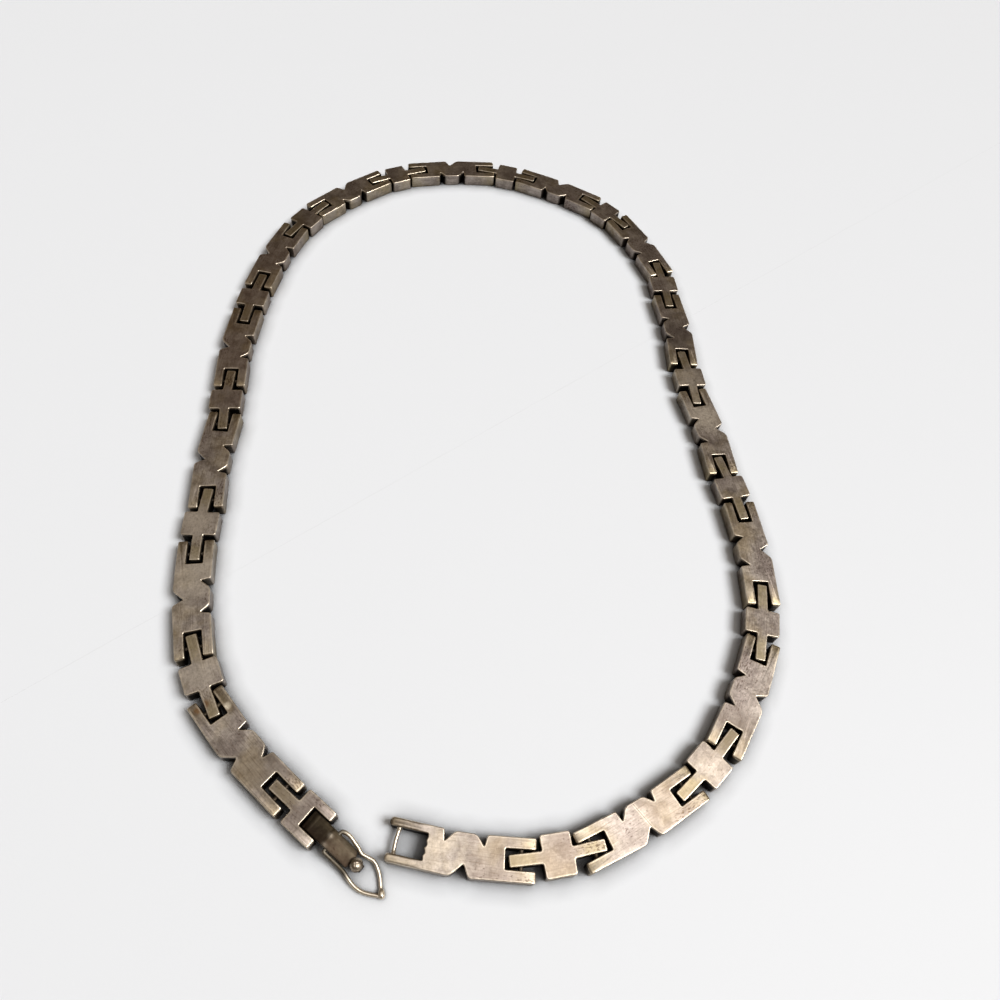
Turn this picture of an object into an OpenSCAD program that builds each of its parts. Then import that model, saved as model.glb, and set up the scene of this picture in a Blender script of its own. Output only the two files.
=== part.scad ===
// Flat link necklace of hinged silver bars, lying open in a loop on a flat surface.
// Fifteen notched links take turns with fourteen cross links. The first notched link
// ends in the catch, and the last cross link leads to the end link with the clasp hook.
// Millimetres. The surface is z = 0, and the loop runs anticlockwise seen from above,
// so the left side of every link is its inner side.

/* [Links] */
// Width of every link, across the chain
link_w = 6.4; // [6.2:0.1:6.8]
// Thickness of every link
link_t = 2.8; // [2.6:0.1:3]
// Length of a notched link along its middle line
notched_l = 22.8; // [22:0.1:24]
// Bend of a notched link about its middle, towards the inside of the loop
notched_bend = 8; // [4:1:10]
// Length of the wide body of a cross link
cross_l = 5; // [4:0.1:6]
// Bend between the two tongues of a cross link
cross_bend = 6; // [2:1:8]
// Length of the end link's body, from its tongue to its prong ends
end_l = 6; // [5.8:0.1:6.6]

/* [Forks and tongues] */
// Depth of the slot in a fork
slot_d = 4.8; // [4.7:0.1:5.2]
// Width of the slot in a fork
slot_w = 2.9; // [2.9:0.05:3.1]
// Length of a tongue
tongue_l = 5.2; // [4.9:0.1:5.4]
// Length of the end link's tongue
end_tongue_l = 5; // [4.6:0.1:5.2]
// Width of a tongue
tongue_w = 1.9; // [1.8:0.05:1.9]
// Space between the prongs of a fork and the body they face
link_gap = 1; // [0.9:0.05:1.2]
// Distance from a fork's open end to its hinge pin
pin_in = 2.3; // [2.2:0.05:2.4]
// Radius of a hinge pin, soldered into both prongs of its fork
pin_r = 0.4; // [0.3:0.05:0.5]
// Radius of the eye in a tongue, which leaves the chain its play
eye_r = 0.75; // [0.7:0.05:0.85]

/* [Catch and clasp] */
// Length of the open slot of the catch
catch_l = 5.7; // [5:0.1:6.5]
// Width of the open slot of the catch
catch_w = 3.75; // [3.6:0.05:3.9]
// How far the inner prong of the catch reaches past the outer one
catch_reach = 0.5; // [0.2:0.1:0.6]
// Distance from the catch's outer prong end to the bar that the hook takes
bar_in = 1.15; // [1:0.05:1.5]
// Radius of that bar
bar_r = 0.31; // [0.25:0.01:0.35]
// Width of the slot that holds the clasp hook
hook_slot_w = 3.2; // [3.2:0.05:3.4]
// Depth of that slot
hook_slot_d = 3.45; // [3.3:0.05:3.7]
// Distance from the end link's prong ends to the clasp's hinge pin
hook_pin_in = 1.9; // [1.85:0.05:1.95]
// Radius of the clasp's hinge pin
hook_pin_r = 0.5; // [0.45:0.05:0.55]
// Running clearance of the two clasp hinges
play = 0.05; // [0.03:0.01:0.08]
// Width of the hook's strap
strap_w = 3; // [2.8:0.05:3]
// Thickness of the hook's strap
strap_t = 1.2; // [1.1:0.05:1.3]
// Radius of the rolled end of the strap, round the hinge pin
barrel_r = 1.25; // [1.1:0.05:1.3]
// Radius of the ball at the tip of the hook
ball_r = 1; // [0.8:0.05:1.1]
// Radius of the safety wire
wire_r = 0.33; // [0.3:0.01:0.35]

/* [Laying] */
// Middle of the first notched link, which lies square to the X axis
first_mid = [8.01, -81.95];

/* [Hidden] */
$fn = 48;

silver = [0.56, 0.51, 0.46];
old_silver = [0.52, 0.47, 0.38];
bright_silver = [0.75, 0.71, 0.62];

half_w = link_w / 2;
mid_z = link_t / 2;
// From a hinge pin to the body that its tongue stands on
arm = pin_in + link_gap;
// From a hinge pin to the middle of its notched link
reach = notched_l / 2 - pin_in;
// How deep a pin or bar is let into the prongs on either side
let_in = 0.9;
// Length taken off each side of a corner to soften it
soft_c = 0.4;

// How the chain was laid: the turn at each hinge in degrees, positive towards the inside.
// A row for each cross link: [turn into it, turn out of it into the next notched link]
hinge_turns = [[9.9, 12.4], [8.7, 10.2], [9.3, 7.5], [2.5, -9.7], [-10, -9.5], [-4.6, 12.6],
    [11.8, 12.6], [7.6, 12.6], [11, 10.4], [9, 8.5], [1, -0.4], [-3.4, -9.2], [-6.6, 1.9],
    [8.2, 12.6]];
// How far each eye was drawn along on its pin, in the same order, positive when drawn apart
hinge_slips = [[-0.1, -0.08], [-0.02, -0.06], [-0.08, -0.02], [0.03, -0.12], [0.12, 0.14],
    [0.14, 0.04], [-0.08, -0.06], [-0.05, 0.03], [-0.05, -0.11], [-0.15, 0.05], [0.2, 0.18],
    [-0.03, -0.04], [-0.05, 0.03], [-0.08, 0.04]];
// The turn and slip into the end link
end_turn = 2.1;
end_slip = 0;

// Step of a given length in a given direction
function way(l, a) = l * [cos(a), sin(a)];

// Near pin and near heading of notched link k, [x, y, heading], worked along the chain
function notched_at(k) = k == 0
    ? let (a = -notched_bend / 2, p = first_mid - way(reach, a)) [p.x, p.y, a]
    : let (c = cross_at(k - 1), p = [c.x, c.y] + way(arm, c.z)
            + way(cross_l, c.z + cross_bend / 2)
            + way(arm + hinge_slips[k - 1][1], c.z + cross_bend))
        [p.x, p.y, c.z + cross_bend + hinge_turns[k - 1][1]];

// Eye on the far pin of notched link k, with its tongue turned and drawn along as given
function after_notched(k, turn, slip) =
    let (n = notched_at(k), a = n.z + notched_bend,
        p = [n.x, n.y] + way(reach, n.z) + way(reach, a) + way(slip, a + turn))
    [p.x, p.y, a + turn];

// Near eye and tongue heading of cross link k, and the same for the end link
function cross_at(k) = after_notched(k, hinge_turns[k][0], hinge_slips[k][0]);
function end_at() = after_notched(len(hinge_turns), end_turn, end_slip);

// Outline with softened corners: every row [x, y, c] with c > 0 gives way to a short
// curve that starts c before the corner and ends c after it, pulled towards the corner
function toward(a, b, d) = a + d * (b - a) / norm(b - a);
function softened(rows, steps = 3) =
    let (n = len(rows), p = [for (r = rows) [r.x, r.y]])
    [for (i = [0 : n - 1]) let (c = rows[i].z)
        each c == 0 ? [p[i]]
            : let (a = toward(p[i], p[(i + n - 1) % n], c), b = toward(p[i], p[(i + 1) % n], c))
                [for (j = [0 : steps]) let (t = j / steps)
                    (1 - t) * (1 - t) * a + 2 * t * (1 - t) * p[i] + t * t * b]];

// A row [x, y, c] turned by an angle and moved
function placed(r, a, d) =
    [d.x + r.x * cos(a) - r.y * sin(a), d.y + r.x * sin(a) + r.y * cos(a), r.z];

// Rows [s, v, c] of a notched link, s along it from its near end and v to its inner side,
// bent about the middle; the near pin ends up at the origin
function bent(rows) = [for (r = rows)
    r.x < notched_l / 2 ? [r.x - pin_in, r.y, r.z]
        : placed([r.x - notched_l / 2, r.y, r.z], notched_bend, [reach, 0])];

// The outer side of a notched link has one wide notch, the inner side two narrow ones
outer_notch = [[10.1, -half_w, 0.7], [11.7, 1.95 - half_w, 0.15], [12.55, -half_w, 0.5]];
inner_notches = [[15.1, half_w, 0.4], [14.65, half_w - 1.65, 0.1], [13.5, half_w, 0.6],
    [9.7, half_w, 0.6], [8.3, half_w - 1.7, 0.1], [7.95, half_w, 0.3]];

// The rows that close a forked end, from its outer to its inner corner, s measured inwards
function fork_end(depth, width, inner = 0, c = soft_c) =
    [[0, -half_w, c], [0, -width / 2, c], [depth, -width / 2, 0.15],
    [depth, width / 2, 0.15], [-inner, width / 2, c], [-inner, half_w, c]];
function from_far(rows, l) = [for (r = rows) [l - r.x, r.y, r.z]];
function backwards(rows) = [for (i = [len(rows) - 1 : -1 : 0]) rows[i]];

module slab(outline) {
    linear_extrude(link_t) polygon(outline);
}

// Round pin across a fork at distance x from the origin, let into both prongs
module pin_across(x, slot, r) {
    translate([x, 0, mid_z]) rotate([90, 0, 0])
        cylinder(r = r, h = slot + 2 * let_in, center = true);
}

// Round hole right through a piece from side to side
module eye(x, r, z = mid_z) {
    translate([x, 0, z]) rotate([90, 0, 0]) cylinder(r = r, h = 2 * link_w, center = true);
}

module at(place) {
    translate([place.x, place.y, 0]) rotate(place.z) children();
}

module far_pin() {
    translate([reach, 0, 0]) rotate(notched_bend) pin_across(reach, slot_w, pin_r);
}

module notched_link(k) {
    rows = concat(outer_notch, from_far(fork_end(slot_d, slot_w), notched_l),
        inner_notches, backwards(fork_end(slot_d, slot_w)));
    color(silver) at(notched_at(k)) {
        slab(softened(bent(rows)));
        pin_across(0, slot_w, pin_r);
        far_pin();
    }
}

// The first notched link: its near end is the open catch with a round bar across it
module catch_link() {
    rows = concat(outer_notch, from_far(fork_end(slot_d, slot_w), notched_l),
        inner_notches, backwards(fork_end(catch_l, catch_w, catch_reach, 0.55)));
    color(silver) at(notched_at(0)) {
        slab(softened(bent(rows)));
        pin_across(bar_in - pin_in, catch_w, bar_r);
        far_pin();
    }
}

// A tongue, drawn from its root at the origin along +X
function tongue(l) = [[0, -tongue_w / 2, 0.2], [l, -tongue_w / 2, 0.3],
    [l, tongue_w / 2, 0.3], [0, tongue_w / 2, 0.2]];

module cross_link(k) {
    body_mid = placed([cross_l / 2, 0, 0], cross_bend / 2, [arm, 0]);
    body_end = placed([cross_l, 0, 0], cross_bend / 2, [arm, 0]);
    near = [for (r = tongue(tongue_l)) placed(r, 180, [arm, 0])];
    far = [for (r = tongue(tongue_l)) placed(r, cross_bend, body_end)];
    side = [for (r = [[-cross_l / 2, -half_w, 0.5], [cross_l / 2, -half_w, 0.5]])
        placed(r, cross_bend / 2, body_mid)];
    inner = [for (r = [[cross_l / 2, half_w, 0.5], [-cross_l / 2, half_w, 0.5]])
        placed(r, cross_bend / 2, body_mid)];
    color(silver) at(cross_at(k)) difference() {
        slab(softened(concat(near, side, far, inner)));
        eye(0, eye_r);
        translate([body_end.x, body_end.y, 0]) rotate(cross_bend) eye(arm, eye_r);
    }
}

module end_link() {
    near = [for (r = tongue(end_tongue_l)) placed(r, 180, [arm, 0])];
    fork = from_far(fork_end(hook_slot_d, hook_slot_w), arm + end_l);
    body = concat([[arm, -half_w, soft_c]], fork, [[arm, half_w, soft_c]]);
    color(silver) at(end_at()) difference() {
        union() {
            slab(softened(concat(near, body)));
            pin_across(arm + end_l - hook_pin_in, hook_slot_w, hook_pin_r);
        }
        eye(0, eye_r);
    }
}

// The hook's middle line seen from the side, [x, z] from its hinge pin: up to the kink,
// down to the flat end, and round in a curl that lies on the surface and carries the ball
curl_z = strap_t / 2 - mid_z;
hook_line = [[0, 0], [2.7, 1], [3.05, 1.07], [3.4, 1], [7.7, -0.3], [8.1, -0.55],
    [8.6, curl_z], [9.1, curl_z], [9.5, -0.4]];
ball_at = [8.85, 0.45];
// The safety wire's pivot on the hook, [x, z] from the hook's hinge pin
pivot = [3.85, 0.85];

// A strip of even thickness along a line of points, as an outline
function left_of(p, i) = let (n = len(p), a = p[max(i - 1, 0)], b = p[min(i + 1, n - 1)],
    d = (b - a) / norm(b - a)) [-d.y, d.x];
function strip(p, t) = concat(
    [for (i = [0 : len(p) - 1]) p[i] - left_of(p, i) * t / 2],
    [for (i = [len(p) - 1 : -1 : 0]) p[i] + left_of(p, i) * t / 2]);

// The hook's outline from above: an even strap with rounded corners, then a narrow neck
neck_w = 1.2;
strap_end = 7.85;
strap_plan = [[-barrel_r, strap_w / 2, 0], [-barrel_r, -strap_w / 2, 0],
    [strap_end, -strap_w / 2, 0.45], [strap_end, -neck_w / 2, 0.1], [10, -neck_w / 2, 0],
    [10, neck_w / 2, 0], [strap_end, neck_w / 2, 0.1], [strap_end, strap_w / 2, 0.6]];

module at_hook() {
    at(end_at()) translate([arm + end_l - hook_pin_in, 0, mid_z]) children();
}

module clasp_hook() {
    color(old_silver) at_hook() difference() {
        union() {
            intersection() {
                rotate([90, 0, 0]) linear_extrude(strap_w, center = true)
                    polygon(strip(hook_line, strap_t));
                translate([0, 0, -link_t]) linear_extrude(3 * link_t)
                    polygon(softened(strap_plan));
            }
            rotate([90, 0, 0]) cylinder(r = barrel_r, h = strap_w, center = true);
            translate([ball_at.x, 0, ball_at.y]) sphere(r = ball_r);
        }
        eye(0, hook_pin_r + play, 0);
        eye(pivot.x, wire_end_r + play, pivot.y);
    }
}

// The safety wire, rows [x, v, z]: x from the hook's hinge pin, v to the inner side and z
// above the surface. Both arms run from the pivot round the ball to the loop's point.
inner_arm = [[3.85, 1.92, 2.25], [4.3, 2.08, 2.24], [4.9, 2.18, 2.16], [5.7, 2.12, 1.98],
    [6.6, 1.96, 1.76], [7.4, 1.88, 1.52], [8.3, 1.76, 1.28], [9.3, 1.84, 1.05], [10.4, 1.95, 0.84],
    [11.5, 1.6, 0.64], [12.5, 1, 0.48], [13.4, 0.2, 0.4], [14.3, -0.5, 0.36]];
outer_arm = [[3.85, -1.92, 2.25], [4.7, -1.9, 2], [5.7, -1.88, 1.7], [6.8, -1.88, 1.4],
    [7.9, -1.95, 1.12], [9.2, -2.22, 0.86], [10.5, -2.36, 0.66], [11.7, -2.2, 0.5],
    [13, -1.65, 0.4], [14.3, -0.9, 0.36]];
wire_tip = [14.45, -0.68];
wire_sides = 10;
// Radius of the bead at the loop's point and of the wire's ends in the hook, and how far these
// ends reach inwards and outwards from the arms
bead_r = 0.55;
wire_end_r = wire_r + 0.02;
wire_end_l = 1;
wire_end_out = wire_r + 0.04;

// A smooth curve through rows of points: each stretch leaves and enters its points along
// the line between their neighbours
function curve(p, steps) = let (n = len(p))
    concat([for (i = [0 : n - 2], j = [0 : steps - 1])
        let (t = j / steps, a = p[max(i - 1, 0)], b = p[i], c = p[i + 1], d = p[min(i + 2, n - 1)])
        b + ((c - a) * t + (2 * a - 5 * b + 4 * c - d) * t * t
            + (3 * b - a - 3 * c + d) * t * t * t) / 2], [p[n - 1]]);

// A ring of points round the path at each of its points, standing across the path
function ring(p, d, r, sides) =
    let (u = d / norm(d), h = cross([0, 0, 1], u), w = h / norm(h), v = cross(u, w))
    [for (j = [0 : sides - 1]) p + r * (cos(j * 360 / sides) * w + sin(j * 360 / sides) * v)];

module tube(path, r, sides) {
    n = len(path);
    points = [for (i = [0 : n - 1])
        each ring(path[i], path[min(i + 1, n - 1)] - path[max(i - 1, 0)], r, sides)];
    walls = [for (i = [0 : n - 2], j = [0 : sides - 1])
        let (a = i * sides + j, b = i * sides + (j + 1) % sides) [a, a + sides, b + sides, b]];
    ends = [[for (j = [0 : sides - 1]) j], [for (j = [sides - 1 : -1 : 0]) (n - 1) * sides + j]];
    polyhedron(points, concat(ends, walls));
}

module safety_wire() {
    color(bright_silver) at_hook() translate([0, 0, -mid_z]) {
        for (arm_rows = [inner_arm, outer_arm]) {
            start = arm_rows[0];
            tube(curve(arm_rows, 2), wire_r, wire_sides);
            translate([start.x, start.y + sign(start.y) * (wire_end_out - wire_end_l) / 2, start.z])
                rotate([90, 0, 0])
                    cylinder(r = wire_end_r, h = wire_end_l + wire_end_out, center = true);
        }
        translate([wire_tip.x, wire_tip.y, bead_r]) sphere(r = bead_r);
    }
}

catch_link();  // notched_link_01
for (k = [1 : 14]) notched_link(k);
for (k = [0 : 13]) cross_link(k);
end_link();
clasp_hook();
safety_wire();
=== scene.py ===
"""The looks of a flat link necklace of hinged silver bars, brushed and tarnished, lying open in a loop.

Sizes are in millimetres and angles in degrees, as in the CAD model, and every mesh is put down in
metres in the same frame. Each link is built in its own place: x along it, y to the inner side of the
loop, z up from the surface it lies on.
"""

import math

import bpy
import numpy as np
from mathutils import Matrix, Quaternion


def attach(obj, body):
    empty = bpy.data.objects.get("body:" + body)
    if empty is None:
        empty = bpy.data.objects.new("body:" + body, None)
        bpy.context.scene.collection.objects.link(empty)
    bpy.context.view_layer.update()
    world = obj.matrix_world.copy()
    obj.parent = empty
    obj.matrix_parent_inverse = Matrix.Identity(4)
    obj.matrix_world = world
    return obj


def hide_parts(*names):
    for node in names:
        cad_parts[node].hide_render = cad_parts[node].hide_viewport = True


MM = 0.001

# Links: width, thickness, lengths and bends
LINK_W, LINK_T = 6.4, 2.8
NOTCHED_L, NOTCHED_BEND = 22.8, 8.0
CROSS_L, CROSS_BEND = 5.0, 6.0
END_L = 6.0
# Forks, tongues and pins
SLOT_D, SLOT_W = 4.8, 2.9
TONGUE_L, END_TONGUE_L, TONGUE_W = 5.2, 5.0, 1.9
LINK_GAP, PIN_IN, PIN_R, EYE_R = 1.0, 2.3, 0.4, 0.75
# Catch and clasp
CATCH_L, CATCH_W, CATCH_REACH = 5.7, 3.75, 0.5
BAR_IN, BAR_R = 1.15, 0.31
HOOK_SLOT_W, HOOK_SLOT_D, HOOK_PIN_IN, HOOK_PIN_R, PLAY = 3.2, 3.45, 1.9, 0.5, 0.05
STRAP_W, STRAP_T, BARREL_R, BALL_R, WIRE_R = 3.0, 1.2, 1.25, 1.0, 0.33
# Wear: how deep and how far in the links' ends are worn down; how deep and how wide the catch's
# prongs are rounded, where that fades out along them, the insets of the two rings that it takes
# more, and the height over which it counts
END_WORN, END_WORN_L = 0.26, 0.5
PRONG_WORN, PRONG_ROUND, PRONG_FADE, PRONG_RINGS, RIM_Z = 0.15, 0.4, 0.6, (0.33, 0.42), 2.2
# Pins: how far they go into the prongs, how far their solder reaches, and the catch bar's bow and
# solder
PIN_IN_PRONG, SOLDER_REACH = 0.5, 0.3
BAR_BOW, BAR_SOLDER = 0.12, 0.14
# Soot, which also paints shade on the walls of the slots and notches: how far under the top it starts and
# over what height; how wide a strip along the outer sides is kept clear of it, over what width it fades in,
# and the share of it that stays in that strip.
# The last is how far apart the links' grains are, so that no two are marked alike
SOOT_AND_SHADE_UNDER, SOOT_AND_SHADE_FADE = 0.15, 0.3
SIDE_STRIP, SIDE_FADE, SIDE_SOOT_AND_SHADE = 0.1, 0.4, 0.14
GRAIN_STEP = 40
# How the chain lies: the middle of the first notched link, the turn at each hinge, and how far
# each eye is drawn along on its pin
FIRST_MID = (8.01, -81.95)
HINGE_TURNS = ((9.9, 12.4), (8.7, 10.2), (9.3, 7.5), (2.5, -9.7), (-10, -9.5), (-4.6, 12.6), (11.8, 12.6),
               (7.6, 12.6), (11, 10.4), (9, 8.5), (1, -0.4), (-3.4, -9.2), (-6.6, 1.9), (8.2, 12.6))
HINGE_SLIPS = ((-0.1, -0.08), (-0.02, -0.06), (-0.08, -0.02), (0.03, -0.12), (0.12, 0.14), (0.14, 0.04),
               (-0.08, -0.06), (-0.05, 0.03), (-0.05, -0.11), (-0.15, 0.05), (0.2, 0.18), (-0.03, -0.04),
               (-0.05, 0.03), (-0.08, 0.04))
END_TURN = 2.1

HALF_W, MID_Z = LINK_W / 2, LINK_T / 2
ARM, REACH = PIN_IN + LINK_GAP, NOTCHED_L / 2 - PIN_IN
SOFT = 0.4
# The notched links are filed from the seeds 0 to 14, the others from these on
CROSS_SEED, END_SEED = 50, 90


# Places along the chain

def way(length, heading):
    """A step of that length in that direction."""
    return length * np.array([math.cos(math.radians(heading)), math.sin(math.radians(heading))])


def chain_places():
    """Walks the chain from hinge to hinge and gives (x, y, heading) for each notched link, each cross
    link and the end link, each at its near pin or eye."""
    heading = -NOTCHED_BEND / 2
    point = np.array(FIRST_MID) - way(REACH, heading)
    notched, cross = [], []
    for (turn_in, turn_out), (slip_in, slip_out) in zip(HINGE_TURNS + ((END_TURN, 0),),
                                                        HINGE_SLIPS + ((0, 0),)):
        notched.append((*point, heading))
        point = point + way(REACH, heading) + way(REACH, heading + NOTCHED_BEND)
        heading += NOTCHED_BEND + turn_in
        point = point + way(slip_in, heading)
        cross.append((*point, heading))
        point = (point + way(ARM, heading) + way(CROSS_L, heading + CROSS_BEND / 2)
                 + way(ARM + slip_out, heading + CROSS_BEND))
        heading += CROSS_BEND + turn_out
    return notched, cross[:-1], cross[-1]


def turned(points, degrees):
    """Points [x, y, ...] turned about the origin; further columns stay."""
    c, s = math.cos(math.radians(degrees)), math.sin(math.radians(degrees))
    out = np.array(points, float)
    out[:, 0], out[:, 1] = out[:, 0] * c - out[:, 1] * s, out[:, 0] * s + out[:, 1] * c
    return out


def shifted(points, x, y):
    """Points moved in the plane; further columns stay."""
    out = np.array(points, float)
    out[:, :2] += (x, y)
    return out


# Outlines: rows [x, y, c], anticlockwise, where c is how far a corner's rounding reaches

def fork_end(depth, width, inner=0.0, c=SOFT, floor=()):
    """The rows that close a fork, from its outer to its inner corner, x measured inwards from its
    open end; floor holds more rows for the end of the slot."""
    return [[0, -HALF_W, c], [0, -width / 2, c], [depth, -width / 2, 0.15], *floor,
            [depth, width / 2, 0.15], [-inner, width / 2, c], [-inner, HALF_W, c]]


def from_far(rows, length):
    """Rows measured from a link's open end, put at its far end instead."""
    return [[length - x, y, c] for x, y, c in rows]


OUTER_NOTCH = [[10.1, -HALF_W, 0.7], [11.7, 1.95 - HALF_W, 0.15], [12.55, -HALF_W, 0.5]]
INNER_NOTCHES = [[15.1, HALF_W, 0.4], [14.65, HALF_W - 1.65, 0.1], [13.5, HALF_W, 0.6],
                 [9.7, HALF_W, 0.6], [8.3, HALF_W - 1.7, 0.1], [7.95, HALF_W, 0.3]]
# The catch's slot ends in a rough saw cut
SAW_CUT = [[5.52, -1.25, 0.08], [5.78, -0.8, 0.08], [5.55, -0.2, 0.08], [5.82, 0.35, 0.08],
           [5.6, 0.95, 0.08], [5.75, 1.4, 0.08]]


def notched_rows(near_end):
    """A notched link, one wide notch on its outer side and two narrow ones on its inner side, with
    its far half turned about the middle by the link's bend."""
    rows = np.array(OUTER_NOTCH + from_far(fork_end(SLOT_D, SLOT_W), NOTCHED_L)
                    + INNER_NOTCHES + near_end[::-1])
    straight = shifted(rows, -PIN_IN, 0)
    bent = shifted(turned(shifted(rows, -NOTCHED_L / 2, 0), NOTCHED_BEND), REACH, 0)
    return np.where(rows[:, :1] < NOTCHED_L / 2, straight, bent)


def tongue_rows(length):
    """A tongue along x, from its root to its tip and back."""
    return [[0, -TONGUE_W / 2, 0.2], [length, -TONGUE_W / 2, 0.3],
            [length, TONGUE_W / 2, 0.3], [0, TONGUE_W / 2, 0.2]]


def cross_rows():
    """A cross link: a wide body turned by half the bend between two tongues."""
    middle = way(CROSS_L / 2, CROSS_BEND / 2) + (ARM, 0)
    end = way(CROSS_L, CROSS_BEND / 2) + (ARM, 0)
    near = shifted(turned(tongue_rows(TONGUE_L), 180), ARM, 0)
    far = shifted(turned(tongue_rows(TONGUE_L), CROSS_BEND), *end)
    sides = np.array([[-CROSS_L / 2, -HALF_W, 0.5], [CROSS_L / 2, -HALF_W, 0.5],
                      [CROSS_L / 2, HALF_W, 0.5], [-CROSS_L / 2, HALF_W, 0.5]])
    sides = shifted(turned(sides, CROSS_BEND / 2), *middle)
    return np.concatenate([near, sides[:2], far, sides[2:]])


def end_rows():
    """The end link: one tongue, and a wide fork for the clasp."""
    near = shifted(turned(tongue_rows(END_TONGUE_L), 180), ARM, 0)
    fork = from_far(fork_end(HOOK_SLOT_D, HOOK_SLOT_W), ARM + END_L)
    return np.concatenate([near, [[ARM, -HALF_W, SOFT]], fork, [[ARM, HALF_W, SOFT]]])


# Surfaces

def outline_rings(rows, insets, arc_steps=6, spacing=0.9):
    """An outline and its copies set in by each inset, shape (insets, points, 2). A corner moves along
    its mitre and is an arc tangent to both sides, whose radius shrinks by the inset at an outward
    corner and grows by it at an inward one. Points a fixed share apart fill the straight stretches."""
    corner, reach = rows[:, :2], rows[:, 2]
    ahead = np.roll(corner, -1, axis=0) - corner
    length = np.linalg.norm(ahead, axis=1)
    leave = ahead / length[:, None]
    arrive = np.roll(leave, 1, axis=0)
    left_in = np.stack([-arrive[:, 1], arrive[:, 0]], axis=1)
    left_out = np.stack([-leave[:, 1], leave[:, 0]], axis=1)
    turn = np.arctan2(arrive[:, 0] * leave[:, 1] - arrive[:, 1] * leave[:, 0],
                      (arrive * leave).sum(axis=1))
    side = np.sign(turn)
    mitre = (left_in + left_out) / (1 + (left_in * left_out).sum(axis=1))[:, None]
    inset = np.asarray(insets, float)[:, None]
    radius = np.maximum(reach / np.tan(np.abs(turn) / 2) - side * inset, 0.015)
    centre = corner + (inset + side * radius)[:, :, None] * mitre
    share = np.linspace(0, 1, arc_steps + 1)
    angle = np.arctan2(left_in[:, 1], left_in[:, 0])[:, None] + share * turn[:, None]
    spoke = np.stack([np.cos(angle), np.sin(angle)], axis=-1)
    arcs = centre[:, :, None] - (side * radius)[:, :, None, None] * spoke
    count = np.maximum((length / spacing).astype(int) - 1, 0)
    at = np.repeat(np.arange(len(rows)), count)
    step = np.arange(len(at)) - np.repeat(np.cumsum(count) - count, count)
    part = ((step + 1) / (count[at] + 1))[:, None]
    stretch = arcs[:, at, -1] * (1 - part) + arcs[:, (at + 1) % len(rows), 0] * part
    order = np.argsort(np.concatenate([
        (np.arange(len(rows))[:, None] + share * 0.4).ravel(), at + 0.4 + 0.6 * part[:, 0]]))
    return np.concatenate([arcs.reshape(len(insets), -1, 2), stretch], axis=1)[:, order]


def slab_profile():
    """The edge of a link from its underside up to its top: [inset, height, wear]. The top edge is a
    worn quarter round, the lower one a smaller one, and a ring inside each keeps the wear to the rim."""
    top, low, skin = 0.15, 0.1, 0.035
    a = np.radians(np.linspace(0, 90, 8))
    b = np.radians(np.linspace(90, 0, 4))
    under = [[skin + 0.3, 0, 0]]
    lower = np.stack([skin + low * (1 - np.cos(b)), low * (1 - np.sin(b)), 0.3 * np.sin(b)], axis=1)
    wall = [[skin, 0.7, 0], [skin, 1.4, 0], [skin, 2.1, 0]]
    upper = np.stack([skin + top * (1 - np.cos(a)), LINK_T - top * (1 - np.sin(a)),
                      np.clip(np.sin(2 * a) + 0.6 * np.sin(a), 0, 1)], axis=1)
    inner = [[skin + top + 0.07, LINK_T, 0.3], [skin + top + 0.2, LINK_T, 0]]
    return np.concatenate([under, lower, wall, upper, inner])


def hand_filed(xy, seed, depth=0.028):
    """Points moved by a slow wave in each direction, a sum of three sines of the place, as a file
    held in the hand leaves an edge."""
    rng = np.random.default_rng(seed)
    out = np.array(xy, float)
    for _ in range(3):
        wave, phase, lean = rng.uniform(0.7, 2.0, 2), rng.uniform(0, 6.3, 2), rng.uniform(-1, 1, (2, 2))
        out = out + depth / 3 * np.sin((xy @ lean.T) * wave + phase)
    return out


def grid_faces(rings, points, closed_rings=False):
    """The quads of a grid of closed rings, wound so that rings rising to the left face outwards."""
    i = np.arange(rings if closed_rings else rings - 1)[:, None]
    j = np.arange(points)[None, :]
    a, b = i * points + j, i * points + (j + 1) % points
    up = ((i + 1) % rings) * points
    return np.stack([a, b, up + (j + 1) % points, up + j], axis=-1).reshape(-1, 4)


def closed_faces(rings, points, flipped=False):
    """The faces of a grid of rings with a flat face over its first and its last one, all turned over
    where the rings rise to the right."""
    faces = grid_faces(rings, points).tolist()
    faces += [list(range(points))[::-1], list(range((rings - 1) * points, rings * points))]
    return [f[::-1] for f in faces] if flipped else faces


def directions(path):
    """The unit direction of a path at each of its points."""
    along = np.gradient(path, axis=0)
    return along / np.linalg.norm(along, axis=1)[:, None]


def travelled(path):
    """How far along a path each of its points lies."""
    return np.concatenate([[0], np.cumsum(np.linalg.norm(np.diff(path, axis=0), axis=1))])


def shell(points, faces, grain, wear_and_glints, soot_and_shade):
    """A surface with what its finish reads: grain in mm along, across and up the piece, wear of its edges,
    which on some pieces also carries painted glints and highlights, and soot in its hollows, which also
    paints the shade there."""
    full = np.ones(len(points))
    return {"points": points, "faces": faces, "grain": grain, "wear_and_glints": wear_and_glints * full, "soot_and_shade": soot_and_shade * full}


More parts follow.
